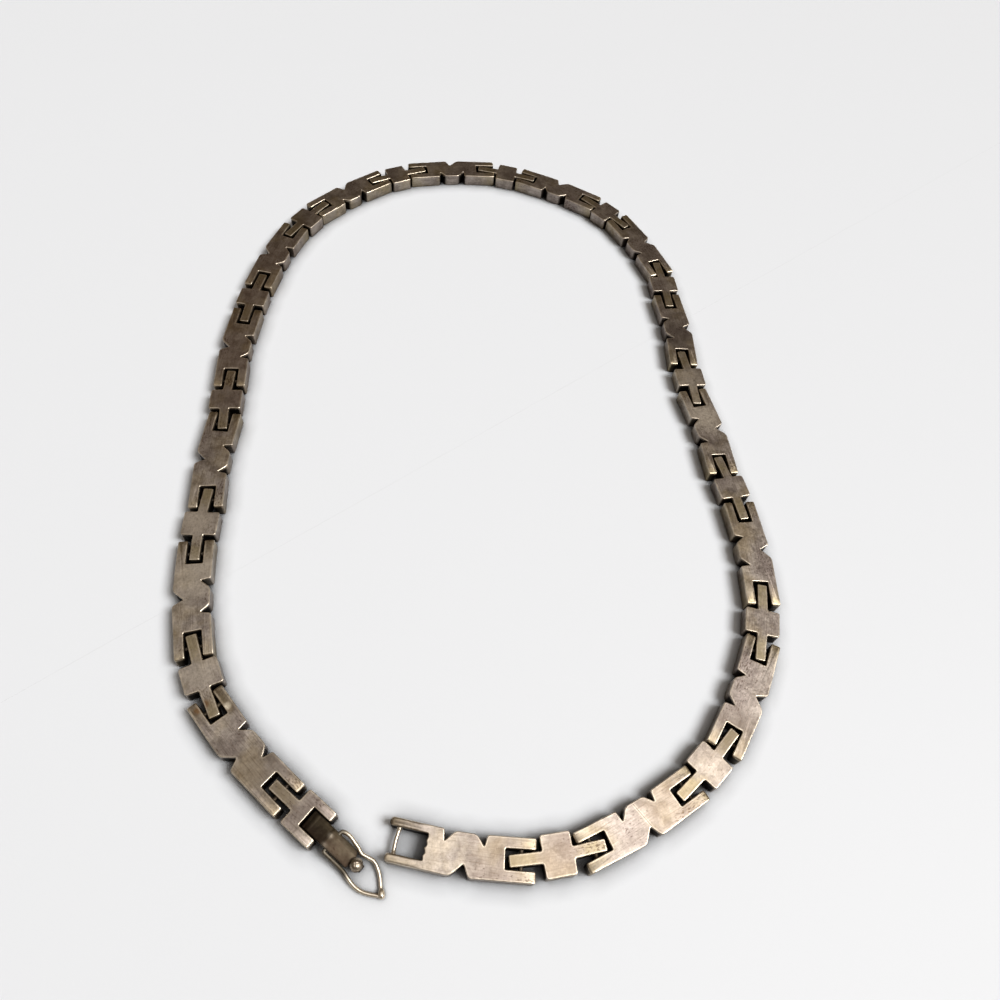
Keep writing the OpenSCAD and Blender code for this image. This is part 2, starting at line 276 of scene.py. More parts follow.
def slab(rows, seed, ends=(), bars_to=None):
    """A link's body: the outline's rings carried up the edge profile, closed by one flat face above
    and one below. Each of its ends (x, y, heading) is worn down over its last half millimetre, by a
    parabola of the distance to it. As far as bars_to along the link its prongs are worn as round as
    bars, by a parabola of the distance to their edges."""
    profile = slab_profile()
    if bars_to is not None:
        profile = np.concatenate([profile[:-1], [[inset, LINK_T, 0] for inset in PRONG_RINGS]])
    xy = hand_filed(outline_rings(rows, profile[:, 0]), seed)
    rings, n = xy.shape[:2]
    points = np.concatenate([xy, np.broadcast_to(profile[:, 1, None, None], (rings, n, 1))], axis=2)
    points = points.reshape(-1, 3)
    for x, y, heading in ends:
        inwards = (points[:, :2] - (x, y)) @ -way(1, heading)
        worn = END_WORN * np.clip(1 - inwards / END_WORN_L, 0, 1) ** 2
        points[:, 2] -= worn * np.clip((points[:, 2] - MID_Z) / (LINK_T - MID_Z), 0, 1)
    if bars_to is not None:
        inset = np.repeat(profile[:, 0], n)
        worn = PRONG_WORN * np.clip((PRONG_RINGS[-1] - inset) / PRONG_ROUND, 0, 1) ** 2
        worn *= np.clip((bars_to - points[:, 0]) / PRONG_FADE, 0, 1)
        points[:, 2] -= worn * (points[:, 2] > RIM_Z)
    return shell(points, closed_faces(rings, n), points.copy(), np.repeat(profile[:, 2], n), 1.0)


def tube(path, radius, sides=16, wear_and_glints=0.0, soot_and_shade=0.0):
    """A round section carried along a path of points, its radius given for each of them, with a flat
    face on each end. Its grain runs along the path, on a section half a millimetre in radius."""
    path = np.asarray(path, float)
    radius = np.broadcast_to(radius, len(path))
    along = directions(path)
    side = np.cross((0.0, 0.0, 1.0), along)
    side /= np.linalg.norm(side, axis=1)[:, None]
    up = np.cross(along, side)
    angle = np.arange(sides) * 2 * np.pi / sides
    spoke = np.cos(angle)[None, :, None] * side[:, None] + np.sin(angle)[None, :, None] * up[:, None]
    points = (path[:, None] + radius[:, None, None] * spoke).reshape(-1, 3)
    grain = np.stack(np.broadcast_arrays(travelled(path)[:, None], np.cos(angle) * 0.5,
                                         np.sin(angle) * 0.5), axis=-1).reshape(-1, 3)
    wear_and_glints, soot_and_shade = (np.repeat(np.broadcast_to(v, len(path)), sides) for v in (wear_and_glints, soot_and_shade))
    return shell(points, closed_faces(len(path), sides), grain, wear_and_glints, soot_and_shade)


def joined(*shells):
    """Several surfaces as one."""
    start = np.cumsum([0] + [len(s["points"]) for s in shells])
    out = {k: np.concatenate([s[k] for s in shells]) for k in ("points", "grain", "wear_and_glints", "soot_and_shade")}
    out["faces"] = [[i + int(a) for i in f] for a, s in zip(start, shells) for f in s["faces"]]
    return out


def placed(surface, place, up=0.0):
    """The surface at a link's place."""
    out = dict(surface)
    out["points"] = shifted(turned(out["points"], place[2]), *place[:2])
    out["points"][:, 2] += up
    return out


def pin_across(x, slot, radius, bow=0.0, solder=0.0, wear_and_glints=0.0, soot_and_shade=0.7):
    """A pin across a fork at x, from within one prong to within the other, bowed towards the fork's open end
    and thickened by solder where it enters the prongs. Its soot, which paints it dark as shade in the fork,
    has to be over 0, because finish_link takes 0 for the wall of a bored eye."""
    y = np.linspace(-slot / 2 - PIN_IN_PRONG, slot / 2 + PIN_IN_PRONG, 25)
    inside = np.clip(1 - np.abs(y) / (slot / 2), 0, 1)
    path = np.stack([x - bow * np.sin(inside * np.pi / 2), y, np.full_like(y, MID_Z)], axis=1)
    filleted = radius + solder * np.exp(-(inside * slot / 2 / SOLDER_REACH) ** 2)
    return tube(path, filleted, 20, wear_and_glints, soot_and_shade)


# Meshes

def write(layer, values):
    """Puts one value or one vector per vertex into a mesh's layer."""
    key = "vector" if layer.data_type == "FLOAT_VECTOR" else "value"
    layer.data.foreach_set(key, np.ascontiguousarray(values, np.float32).ravel())


def put(name, data):
    """A new object in the scene."""
    obj = bpy.data.objects.new(name, data)
    bpy.context.scene.collection.objects.link(obj)
    return obj


def mesh_of(surface, name):
    """A smooth mesh in metres, with an edge kept sharp where its faces meet at more than 50 degrees."""
    mesh = bpy.data.meshes.new(name)
    mesh.from_pydata((surface["points"] * MM).tolist(), [], surface["faces"])
    for key, kind in (("grain", "FLOAT_VECTOR"), ("wear_and_glints", "FLOAT"), ("soot_and_shade", "FLOAT")):
        write(mesh.attributes.new(key, kind, "POINT"), surface[key])
    mesh.shade_smooth()
    mesh.set_sharp_from_angle(angle=math.radians(50))
    return mesh


def bored(mesh, eyes):
    """The mesh with a round eye taken out for each place (x, y, heading), across its tongue."""
    bore = joined(*[placed(tube([[0, -2, MID_Z], [0, 2, MID_Z]], EYE_R, 32), e) for e in eyes])
    body, cutter = put("tongues", mesh), put("eyes", mesh_of(bore, "eyes"))
    cut = body.modifiers.new("eyes", "BOOLEAN")
    cut.operation, cut.solver, cut.object = "DIFFERENCE", "EXACT", cutter
    seen = body.evaluated_get(bpy.context.evaluated_depsgraph_get())
    done = bpy.data.meshes.new_from_object(seen)
    for obj in (body, cutter):
        bpy.data.objects.remove(obj)
    return done


def lay(mesh, place):
    """Moves a mesh from its link's own place to where the link lies."""
    mesh.transform(Matrix.Translation((place[0] * MM, place[1] * MM, 0))
                   @ Matrix.Rotation(math.radians(place[2]), 4, "Z"))


def piece(name, mesh, body, node, material):
    """A finished piece that stands for its CAD node and rides on its body."""
    mesh.materials.clear()
    mesh.materials.append(material)
    obj = put(name, mesh)
    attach(obj, body)
    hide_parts(node)


def finish_link(mesh, place, middle, seed, bend=0.0):
    """Writes what a link's finish reads, worked out from each vertex's place in the link: grain from the
    link's middle, and soot with painted shade on every wall that isn't on the link's outer sides, black in a
    bored eye. Each half of a bent link leans from the middle by half the bend, so its sides are measured from
    that line. The seed moves the grain of each link to a part of the noises of its own."""
    n = len(mesh.vertices)
    co = np.zeros(n * 3, np.float32)
    mesh.vertices.foreach_get("co", co)
    local = turned(shifted(co.reshape(-1, 3) / MM, -place[0], -place[1]), -place[2])
    wear_and_glints, soot_and_shade = np.zeros(n, np.float32), np.zeros(n, np.float32)
    mesh.attributes["wear_and_glints"].data.foreach_get("value", wear_and_glints)
    mesh.attributes["soot_and_shade"].data.foreach_get("value", soot_and_shade)
    x, y, lean = middle
    grain = turned(shifted(local, -x, -y), -lean)
    wall = np.clip((LINK_T - SOOT_AND_SHADE_UNDER - grain[:, 2]) / SOOT_AND_SHADE_FADE, 0, 1)
    half = math.radians(bend / 2)
    aside = np.abs(grain[:, 1] * math.cos(half) - np.abs(grain[:, 0]) * math.sin(half))
    hollow = np.clip((HALF_W - SIDE_STRIP - aside) / SIDE_FADE, 0, 1)
    bored_wall = (soot_and_shade == 0) & (np.abs(grain[:, 2] - MID_Z) < EYE_R + 0.01)
    soot_and_shade[bored_wall] = 1
    wear_and_glints[bored_wall] = 0
    soot_and_shade *= wall * (SIDE_SOOT_AND_SHADE + (1 - SIDE_SOOT_AND_SHADE) * hollow)
    grain[:, 2] += GRAIN_STEP * seed
    for key, values in (("wear_and_glints", wear_and_glints), ("soot_and_shade", soot_and_shade), ("grain", grain)):
        write(mesh.attributes[key], values)


# The clasp

HOOK_LINE = [[-1.15, 0.5], [-0.9, 0.66], [0, 0.85], [1.4, 0.95], [2.7, 1.03], [3.05, 1.07], [3.4, 1],
             [5.5, 0.35], [7.7, -0.3], [8.1, -0.55], [8.6, STRAP_T / 2 - MID_Z],
             [9.1, STRAP_T / 2 - MID_Z], [9.5, -0.4]]
BALL_AT = (8.85, 0.45)
# The strap: where it ends, over what length its shoulder takes it in, and how wide its neck is; how far
# inside the solid its sides stay; [along, half thickness]; how deep its worn slope is; and the two glints
# painted as pale spots at its kink, [along, across, reach along, reach across, strength]
STRAP_END, SHOULDER, NECK_W, STRAP_IN = 7.85, 0.4, 1.2, 0.02
STRAP_HALF_T = ((-1.15, 0.2), (0, 0.36), (2.4, 0.58), (7.4, 0.58), (8.4, 0.5), (9.5, 0.42))
STRAP_SLOPE, KINK_AT = 0.34, 2.9
KINK_GLINTS = ((3.1, 0.35, 0.3, 0.33, 1.3), (3.2, -1.15, 0.35, 0.3, 0.7))
# The ball: how much it is drawn over its size, how deep its top dips and how deep its ripples are
BALL_OVER, BALL_DIP, BALL_RIPPLE = 1.05, 0.05, 0.026
INNER_ARM = [[3.95, 1.1, 2.25], [3.97, 1.55, 2.25], [4.12, 1.86, 2.25], [4.5, 2.06, 2.22],
             [5.1, 2.16, 2.12], [5.8, 2.12, 1.96], [6.6, 1.96, 1.76], [7.4, 1.82, 1.52],
             [8.3, 1.54, 1.28], [9.3, 1.74, 1.05], [10.4, 1.95, 0.84], [11.5, 1.6, 0.64],
             [12.5, 1, 0.48], [13.4, 0.2, 0.4], [14.3, -0.5, 0.36]]
OUTER_ARM = [[3.85, -1.1, 2.25], [3.85, -1.65, 2.25], [3.95, -1.86, 2.2], [4.7, -1.89, 2],
             [5.7, -1.88, 1.7], [6.8, -1.88, 1.4], [7.9, -1.95, 1.12], [9.2, -2.22, 0.86],
             [10.5, -2.36, 0.66], [11.7, -2.2, 0.5], [13, -1.65, 0.4], [14.3, -0.9, 0.36]]
# The loop's bead, how far it is drawn out along the inner arm, and up to where each arm is painted dark,
# partly as tarnish and partly as painted shade beside the strap
WIRE_TIP, BEAD_R, BEAD_DRAWN = (14.45, -0.68), 0.55, (-0.75, 0.7)
INNER_DARK, OUTER_DARK = 4.0, 8.2


def smooth_path(rows, steps):
    """A curve through all rows: each stretch is the cubic that leaves and enters its rows along the
    line between their neighbours."""
    p = np.asarray(rows, float)
    p = np.concatenate([p[:1], p, p[-1:]])
    t = np.arange(steps)[None, :, None] / steps
    a, b, c, d = (p[i:len(p) - 3 + i, None] for i in range(4))
    line = b + ((c - a) * t + (2 * a - 5 * b + 4 * c - d) * t**2
                + (3 * b - a - 3 * c + d) * t**3) / 2
    return np.concatenate([line.reshape(-1, p.shape[1]), p[-1:]])


def strap():
    """The hook's strap: a rounded rectangle carried along the hook's line. It keeps its width up to
    its shoulder, where a squarish quarter round takes it in to the neck that carries the ball, and
    its top is worn down towards the inner side."""
    line = smooth_path(HOOK_LINE, 8)
    x = line[:, 0]
    into = np.clip((x - (STRAP_END - SHOULDER)) / SHOULDER, 0, 1)
    half = NECK_W / 2 + (STRAP_W / 2 - STRAP_IN - NECK_W / 2) * np.sqrt(np.clip(1 - into**2.6, 0, 1))
    thick = np.interp(x, *zip(*STRAP_HALF_T))
    corner = np.minimum(0.2, 0.55 * thick)
    angle = np.radians(np.concatenate([np.linspace(0, 90, 5), np.full(9, 90.0), np.linspace(90, 360, 15)]))
    to_y = np.concatenate([np.ones(5), np.linspace(1, -1, 11)[1:-1], -np.ones(10), np.ones(5)])
    to_n = np.concatenate([np.ones(19), -np.ones(10)])
    y = to_y * (half - corner)[:, None] + corner[:, None] * np.cos(angle)
    n = to_n * (thick - corner)[:, None] + corner[:, None] * np.sin(angle)
    sloped = STRAP_SLOPE * np.clip((y - 0.4) / 1.1, 0, 1) ** 1.3 * np.clip((x - 1.4) / 1.5, 0, 1)[:, None]
    n = np.where(n > 0, n - sloped, n)
    along = directions(line)
    points = np.stack([line[:, :1] - along[:, 1:] * n, y, line[:, 1:] + along[:, :1] * n], axis=-1)
    rings, sides = y.shape
    grain = np.stack(np.broadcast_arrays(travelled(line)[:, None], y, n), axis=-1)
    past = x[:, None]
    # Pale worn lines along the strap's edges past the kink, and two glints painted at the kink as pale spots.
    rubbed_and_glints = 0.35 * np.abs(np.sin(2 * angle)) * (past > KINK_AT)
    for at, off, long, wide, strength in KINK_GLINTS:
        rubbed_and_glints = rubbed_and_glints + strength * np.exp(-((past - at) / long) ** 2 - ((y - off) / wide) ** 2)
    # The strap is darkened all over and most on its underside, partly as tarnish and partly as painted shade.
    soot_and_shade = 0.66 - 0.06 * np.clip((past - 2.5) / 0.9, 0, 1) ** 2 + 0.4 * (n < -0.3)
    return shell(points.reshape(-1, 3), closed_faces(rings, sides, flipped=True), grain.reshape(-1, 3),
                 np.clip(rubbed_and_glints * (n > 0), 0, 1).ravel(), np.clip(soot_and_shade, 0, 1).ravel())


def barrel():
    """The strap's rolled end: a rounded ring section turned about the hinge pin."""
    bore, half, soft, sides = HOOK_PIN_R + PLAY, STRAP_W / 2 - STRAP_IN, 0.22, 48
    turn = np.radians(np.linspace(0, 90, 5))
    radius = np.concatenate([BARREL_R - soft * (1 - np.cos(turn)), [bore, bore],
                             BARREL_R - soft * (1 - np.cos(turn[::-1]))])
    y = np.concatenate([half - soft * (1 - np.sin(turn)), [half, -half],
                        -half + soft * (1 - np.sin(turn[::-1]))])
    angle = np.arange(sides) * 2 * np.pi / sides
    points = np.stack([radius * np.cos(angle)[:, None], np.broadcast_to(y, (sides, len(y))),
                       radius * np.sin(angle)[:, None]], axis=-1)
    faces = grid_faces(sides, len(y), closed_rings=True)[:, ::-1].tolist()
    grain = np.stack(np.broadcast_arrays(angle[:, None] * BARREL_R, y, radius), axis=-1)
    # Its soot darkens it all over, partly as tarnish and partly as painted shade in the end link's slot.
    return shell(points.reshape(-1, 3), faces, grain.reshape(-1, 3), 0, 0.75)


def ball():
    """The ball at the tip: a sphere whose radius dips at the top and is rippled over its upper half by a
    product of sines of its direction, as cast silver shrinks and pits."""
    rings, sides = 44, 56
    polar = np.linspace(0.001, np.pi - 0.001, rings)[:, None]
    angle = np.arange(sides) * 2 * np.pi / sides
    facing = np.stack([np.sin(polar) * np.cos(angle), np.sin(polar) * np.sin(angle),
                       np.cos(polar) * np.ones(sides)], axis=-1)
    rippled = BALL_RIPPLE * (1 - np.prod(np.sin(12.5 * facing + (0.4, 1.3, 2.2)), axis=-1))
    rippled *= np.clip(1.3 - polar / 1.3, 0, 1)
    radius = BALL_OVER * BALL_R * (0.98 - BALL_DIP * np.exp(-(polar / 0.3) ** 2) - rippled) - 0.005
    points = radius[..., None] * facing + (BALL_AT[0], -0.1, BALL_AT[1])
    points = points.reshape(-1, 3)
    # Its top is painted pale, partly as worn bare metal and partly as a painted highlight, and from just
    # above its middle down it is painted darker as shade.
    wear_and_glints = np.repeat(np.clip(2.4 - polar[:, 0] / 0.6, 0, 1), sides)
    soot_and_shade = np.repeat(np.clip(polar[:, 0] - 1.35, 0, 0.5), sides)
    return shell(points, closed_faces(rings, sides, flipped=True), points.copy(), wear_and_glints, soot_and_shade)


def safety_wire():
    """The bent wire: two arms from their bends in the strap's sides to the loop's point, closed there
    by a bead of solder, a sphere drawn out along the inner arm."""
    arms = []
    for rows, dark_to in ((INNER_ARM, INNER_DARK), (OUTER_ARM, OUTER_DARK)):
        path = smooth_path(rows, 8) - (0, 0, MID_Z)
        # Each arm is painted dark up to dark_to, partly as tarnish and partly as painted shade beside the
        # strap, and paler beyond it.
        old_and_shaded = np.clip(1 - (path[:, 0] - dark_to) / 1.2, 0, 1)
        arms.append(tube(path, WIRE_R - 0.01, wear_and_glints=0.8 - 0.7 * old_and_shaded, soot_and_shade=0.75 * old_and_shaded))
    polar = np.linspace(0.05, np.pi - 0.05, 18)
    drawn = np.clip(np.cos(polar), 0, 1)[:, None] * BEAD_DRAWN
    path = np.column_stack([WIRE_TIP[0] + BEAD_R * np.clip(-np.cos(polar), 0, 1) + drawn[:, 0],
                            WIRE_TIP[1] + drawn[:, 1], np.full_like(polar, BEAD_R - MID_Z)])
    return joined(*arms, tube(path, BEAD_R * np.sin(polar) - 0.005, 20, wear_and_glints=0.9))


# Materials

def linear(hex_colour):
    """An sRGB hex colour as linear red, green, blue and alpha."""
    c = [int(hex_colour[i:i + 2], 16) / 255 for i in (1, 3, 5)]
    return [v / 12.92 if v <= 0.04045 else ((v + 0.055) / 1.055) ** 2.4 for v in c] + [1.0]


def blank_tree(owner):
    """The owner's node tree, emptied."""
    owner.use_nodes = True
    owner.node_tree.nodes.clear()
    return owner.node_tree


def add(tree, kind, inputs=None, **settings):
    """Adds a node. Settings are its own properties; inputs go to its sockets by name or number, each
    a value or another node's output."""
    node = tree.nodes.new(kind)
    for name, value in settings.items():
        setattr(node, name, value)
    for key, value in (inputs or {}).items():
        if isinstance(value, bpy.types.NodeSocket):
            tree.links.new(value, node.inputs[key])
        else:
            node.inputs[key].default_value = value
    return node


# Stains, and darker and paler patches on single links, and last a brown cast over the links on the left:
# place in the laid chain in mm, reach in mm, strength and colour
STAINS = (((-36.9, -65.7, 2.8), 1.0, 0.85, "#6E4A22"), ((-37.7, -67.0, 2.8), 0.9, 0.8, "#7A5526"),
          ((-33.3, -65.4, 2.8), 0.8, 0.95, "#F4E9D2"), ((-24.6, -74.4, 2.8), 5.5, 0.5, "#564A3E"),
          ((50.9, -57.5, 2.8), 6.5, 0.65, "#5E5246"), ((22.8, -80.1, 2.8), 5.0, 0.75, "#7D6F62"),
          ((44.2, 20.7, 2.8), 6.0, 0.4, "#E2D8C6"), ((-49.5, -33.2, 2.8), 4.5, 0.5, "#DCD1BF"),
          ((-46.2, -43.7, 2.8), 6.0, 0.45, "#DCD1BF"), ((-39.1, -61.6, 2.8), 4.0, 0.35, "#DCD1BF"),
          ((-19.1, -77.9, 2.8), 7.0, 0.4, "#6B5F55"), ((-54.3, 54.6, 2.8), 4.5, 0.35, "#4E453C"),
          ((-53.9, -4.4, 2.8), 4.5, 0.35, "#5E5246"), ((40.3, 34.5, 2.8), 6.0, 0.5, "#4E453C"),
          ((13.5, -81.3, 2.8), 6.0, 0.5, "#75675A"), ((1.0, -81.5, 2.8), 6.5, 0.3, "#E4D8CC"),
          ((39.3, -69.7, 2.8), 6.0, 0.35, "#8F7B5C"), ((46.4, -62.9, 2.8), 4.0, 0.22, "#E2D3BC"),
          ((46.3, 11.5, 2.8), 6.0, 0.7, "#E6DCCB"), ((-57.0, 20.0, 2.8), 42.0, 0.3, "#6A4A26"))
# The one solder seam that shows across a notched link: its lean and its place along the link in its
# grain, and the link's middle in the laid chain in mm
SEAMS = ((0.2, 0.4, (34.7, -73.4, 2.8)),)


def tarnished_silver(name, base, dark, warm, patina_from, patina_to, seams=(), rough=0.36,
                     tints=("#948884", "#A8946C")):
    """Brushed silver under years of tarnish: lengthwise brush marks 0.15 mm apart, cloudy tints 3 and 11 mm
    across, pits, a yellow patina towards the hinges, black in the hollows, partly tarnish and partly painted
    shade, and bare metal on worn edges, with painted glints where the wear carries them and beside a seam.
    Grain is in mm, its first number measured from the piece's middle."""
    material = bpy.data.materials.new(name)
    tree = blank_tree(material)
    grain = add(tree, "ShaderNodeAttribute", attribute_name="grain").outputs["Vector"]
    wear_and_glints = add(tree, "ShaderNodeAttribute", attribute_name="wear_and_glints").outputs["Fac"]
    soot_and_shade = add(tree, "ShaderNodeAttribute", attribute_name="soot_and_shade").outputs["Fac"]
    laid = add(tree, "ShaderNodeTexCoord").outputs["Object"]

    brushed = add(tree, "ShaderNodeVectorMath", {0: grain, 1: (0.22, 5.0, 5.0)}, operation="MULTIPLY")
    scratched = add(tree, "ShaderNodeVectorMath", {0: grain, 1: (0.5, 1.0, 1.0)}, operation="MULTIPLY")
    noises = []
    for vector, scale, detail, rise in ((brushed.outputs[0], 1.0, 3.0, 0.65), (grain, 0.36, 5.0, 0.66),
                                        (grain, 0.13, 3.0, 0.5), (grain, 2.6, 4.0, 0.75),
                                        (scratched.outputs[0], 4.0, 1.0, 0.5)):
        noises.append(add(tree, "ShaderNodeTexNoise", {"Vector": vector, "Scale": scale, "Detail": detail,
                                                       "Roughness": rise}).outputs["Fac"])
    brush, cloud, slow, fine, specks = noises
    # Pits stand in groups: small specks, longer along the piece, where a wider noise runs high
    grouped = add(tree, "ShaderNodeMath", {0: specks, 1: slow}, operation="ADD").outputs[0]
    pits = add(tree, "ShaderNodeMapRange", {0: grouped, 1: 1.17, 2: 1.30, 3: 0.0, 4: 0.7},
               interpolation_type="SMOOTHSTEP").outputs[0]
    # Each share runs from its value at the low mark of a noise to its value at the high mark
    share = {}
    for key, source, low, high, at_low, at_high in (
            ("dark", cloud, 0.40, 0.62, 0.0, 1.0), ("rosy", slow, 0.42, 0.62, 0.0, 0.5),
            ("olive", slow, 0.48, 0.34, 0.0, 0.35), ("edge", fine, 0.3, 0.7, -0.9, 0.9),
            ("patchy", cloud, 0.35, 0.6, 0.45, 0.95), ("lined", brush, 0.54, 0.66, 0.0, 0.38),
            ("streaked", brush, 0.32, 0.62, 1.07, 0.91), ("mottled", fine, 0.3, 0.7, 0.74, 1.24),
            ("glinting", slow, 0.4, 0.55, 0.2, 0.75), ("broken", fine, 0.3, 0.55, 0.5, 1.0),
            ("rubbed_and_glints", cloud, 0.35, 0.6, 1.0, 0.4), ("dull", soot_and_shade, 0.0, 1.0, rough, 0.62),
            ("grit", fine, 0.3, 0.7, -0.06, 0.1), ("smooth", wear_and_glints, 0.0, 1.0, 0.0, -0.06)):
        share[key] = add(tree, "ShaderNodeMapRange", {0: source, 1: low, 2: high, 3: at_low,
                                                      4: at_high}).outputs[0]

    along = add(tree, "ShaderNodeSeparateXYZ", {0: grain}).outputs[0]
    from_middle = add(tree, "ShaderNodeMath", {0: along}, operation="ABSOLUTE").outputs[0]
    ragged = add(tree, "ShaderNodeMath", {0: from_middle, 1: share["edge"]}, operation="ADD").outputs[0]
    near_hinge = add(tree, "ShaderNodeMapRange", {0: ragged, 1: patina_from, 2: patina_to}).outputs[0]
    patina = add(tree, "ShaderNodeMath", {0: near_hinge, 1: share["patchy"]}, operation="MULTIPLY").outputs[0]
    colour = linear(base)
    for amount, tint in ((share["dark"], dark), (share["rosy"], tints[0]), (share["olive"], tints[1]),
                         (patina, warm), (share["lined"], "#6E5B4A")):
        colour = add(tree, "ShaderNodeMix", {0: amount, 6: colour, 7: linear(tint)},
                     data_type="RGBA").outputs[2]

    shade = add(tree, "ShaderNodeMath", {0: share["streaked"], 1: share["mottled"]},
                operation="MULTIPLY").outputs[0]
    for lean, place, middle in seams:
        across = add(tree, "ShaderNodeVectorMath", {0: grain, 1: (1.0, lean, 0.0)}, operation="DOT_PRODUCT")
        off = add(tree, "ShaderNodeMath", {0: across.outputs["Value"], 1: place}, operation="SUBTRACT")
        off = add(tree, "ShaderNodeMath", {0: off.outputs[0]}, operation="ABSOLUTE").outputs[0]
        away = add(tree, "ShaderNodeVectorMath", {0: laid, 1: [v * MM for v in middle]}, operation="DISTANCE")
        beyond = add(tree, "ShaderNodeMapRange", {0: away.outputs["Value"], 1: 5 * MM, 2: 6 * MM}).outputs[0]
        off = add(tree, "ShaderNodeMath", {0: off, 1: beyond}, operation="ADD").outputs[0]
        filled = add(tree, "ShaderNodeMapRange", {0: off, 1: 0.04, 2: 0.14, 3: 0.7, 4: 1.0}).outputs[0]
        shade = add(tree, "ShaderNodeMath", {0: shade, 1: filled}, operation="MULTIPLY").outputs[0]
        # Along each side of the seam a pale band is painted into the wear as a highlight, where the lap's
        # edge catches the light.
        beside = add(tree, "ShaderNodeMapRange", {0: off, 1: 0.05, 2: 0.14, 3: 0.0, 4: share["glinting"]})
        within = add(tree, "ShaderNodeMapRange", {0: off, 1: 0.15, 2: 0.28, 3: 1.0, 4: 0.0}).outputs[0]
        wear_and_glints = add(tree, "ShaderNodeMath", {0: beside.outputs[0], 1: within, 2: wear_and_glints},
                   operation="MULTIPLY_ADD").outputs[0]
    colour = add(tree, "ShaderNodeVectorMath", {0: colour, 3: shade}, operation="SCALE").outputs[0]

    marks = [(pits, "#4A392C")]
    for place, reach, strength, tint in STAINS:
        away = add(tree, "ShaderNodeVectorMath", {0: laid, 1: [v * MM for v in place]}, operation="DISTANCE")
        spot = add(tree, "ShaderNodeMapRange", {0: away.outputs["Value"], 1: 0.35 * reach * MM,
                                                2: reach * MM, 3: strength, 4: 0.0}).outputs[0]
        marks.append((add(tree, "ShaderNodeMath", {0: spot, 1: share["broken"]},
                          operation="MULTIPLY").outputs[0], tint))
    # Pale bare metal where worn, which also paints the glints and highlights that the wear carries on the
    # hook, the catch's bar and beside the seam.
    marks.append((add(tree, "ShaderNodeMath", {0: wear_and_glints, 1: share["rubbed_and_glints"]},
                      operation="MULTIPLY").outputs[0], "#E2D6C2"))
    # Soot paints the hollows near black, partly as tarnish and partly as painted shade.
    for amount, tint in (*marks, (soot_and_shade, "#16100B")):
        colour = add(tree, "ShaderNodeMix", {0: amount, 6: colour, 7: linear(tint)},
                     data_type="RGBA").outputs[2]

    roughness = share["dull"]
    for change in (share["grit"], share["smooth"]):
        roughness = add(tree, "ShaderNodeMath", {0: roughness, 1: change}, operation="ADD").outputs[0]
    height = add(tree, "ShaderNodeMath", {0: brush, 1: pits}, operation="SUBTRACT").outputs[0]
    bump = add(tree, "ShaderNodeBump", {"Strength": 0.4, "Distance": 0.014 * MM, "Height": height})
    dents = add(tree, "ShaderNodeBump", {"Strength": 0.6, "Distance": 0.09 * MM, "Height": cloud,
                                         "Normal": bump.outputs[0]})
    shader = add(tree, "ShaderNodeBsdfPrincipled", {"Base Color": colour, "Metallic": 1.0,
                                                    "Roughness": roughness, "Normal": dents.outputs[0]})
    add(tree, "ShaderNodeOutputMaterial", {"Surface": shader.outputs[0]})
    return material


def painted_board():
    """A matt pale board to lie on: even, with a faint tooth half a millimetre across, and with painted shade,
    dark in the narrow gaps of the chain and around it, by how much of the sky is open within 3.5 mm of
    whatever stands over it."""
    material = bpy.data.materials.new("pale_painted_board")
    tree = blank_tree(material)
    place = add(tree, "ShaderNodeTexCoord").outputs["Object"]
    tooth = add(tree, "ShaderNodeTexNoise", {"Vector": place, "Scale": 2000.0, "Detail": 2.0}).outputs["Fac"]
    # Painted shade: the board is darkened to near black where little of the sky is open, in the chain's gaps
    # and around the chain's sides.
    open_sky = add(tree, "ShaderNodeAmbientOcclusion", {"Distance": 3.5 * MM}, samples=4).outputs["AO"]
    lit = add(tree, "ShaderNodeMapRange", {0: open_sky, 1: 0.36, 2: 0.88, 3: 0.01, 4: 1.0}).outputs[0]
    colour = add(tree, "ShaderNodeMix", {0: lit, 6: linear("#0D0B0A"), 7: linear("#E4E8ED")},
                 data_type="RGBA").outputs[2]
    bump = add(tree, "ShaderNodeBump", {"Strength": 0.2, "Distance": 0.05 * MM, "Height": tooth})
    shader = add(tree, "ShaderNodeBsdfPrincipled", {"Base Color": colour, "Roughness": 0.62,
                                                    "Normal": bump.outputs[0]})
    add(tree, "ShaderNodeOutputMaterial", {"Surface": shader.outputs[0]})
    return material


# Scene

def photo_camera():
    """The camera where the photograph was taken from: its point over the surface, how far it looks
    down, its roll, and its heading from +Y."""
    ground, height = (5.15, -96.92), 127.4
    down, roll, heading = (math.radians(v) for v in (57.70, 9.07, -0.24))
    right = np.array([1.0, 0, 0])
    up = np.array([0, math.sin(down), math.cos(down)])
    back = -np.array([0, math.cos(down), -math.sin(down)])
    axes = np.stack([math.cos(roll) * right + math.sin(roll) * up,
                     math.cos(roll) * up - math.sin(roll) * right, back], axis=1)
    data = bpy.data.cameras.new("camera")
    data.sensor_width, data.lens = 36.0, 27.0
    data.clip_start, data.clip_end = 0.005, 20.0
    camera = put("camera", data)
    turn = np.eye(4)
    turn[:3, :3] = axes
    camera.matrix_world = (Matrix.Translation((ground[0] * MM, ground[1] * MM, height * MM))
                           @ Matrix.Rotation(heading, 4, "Z") @ Matrix(turn.tolist()))
    bpy.context.scene.camera = camera


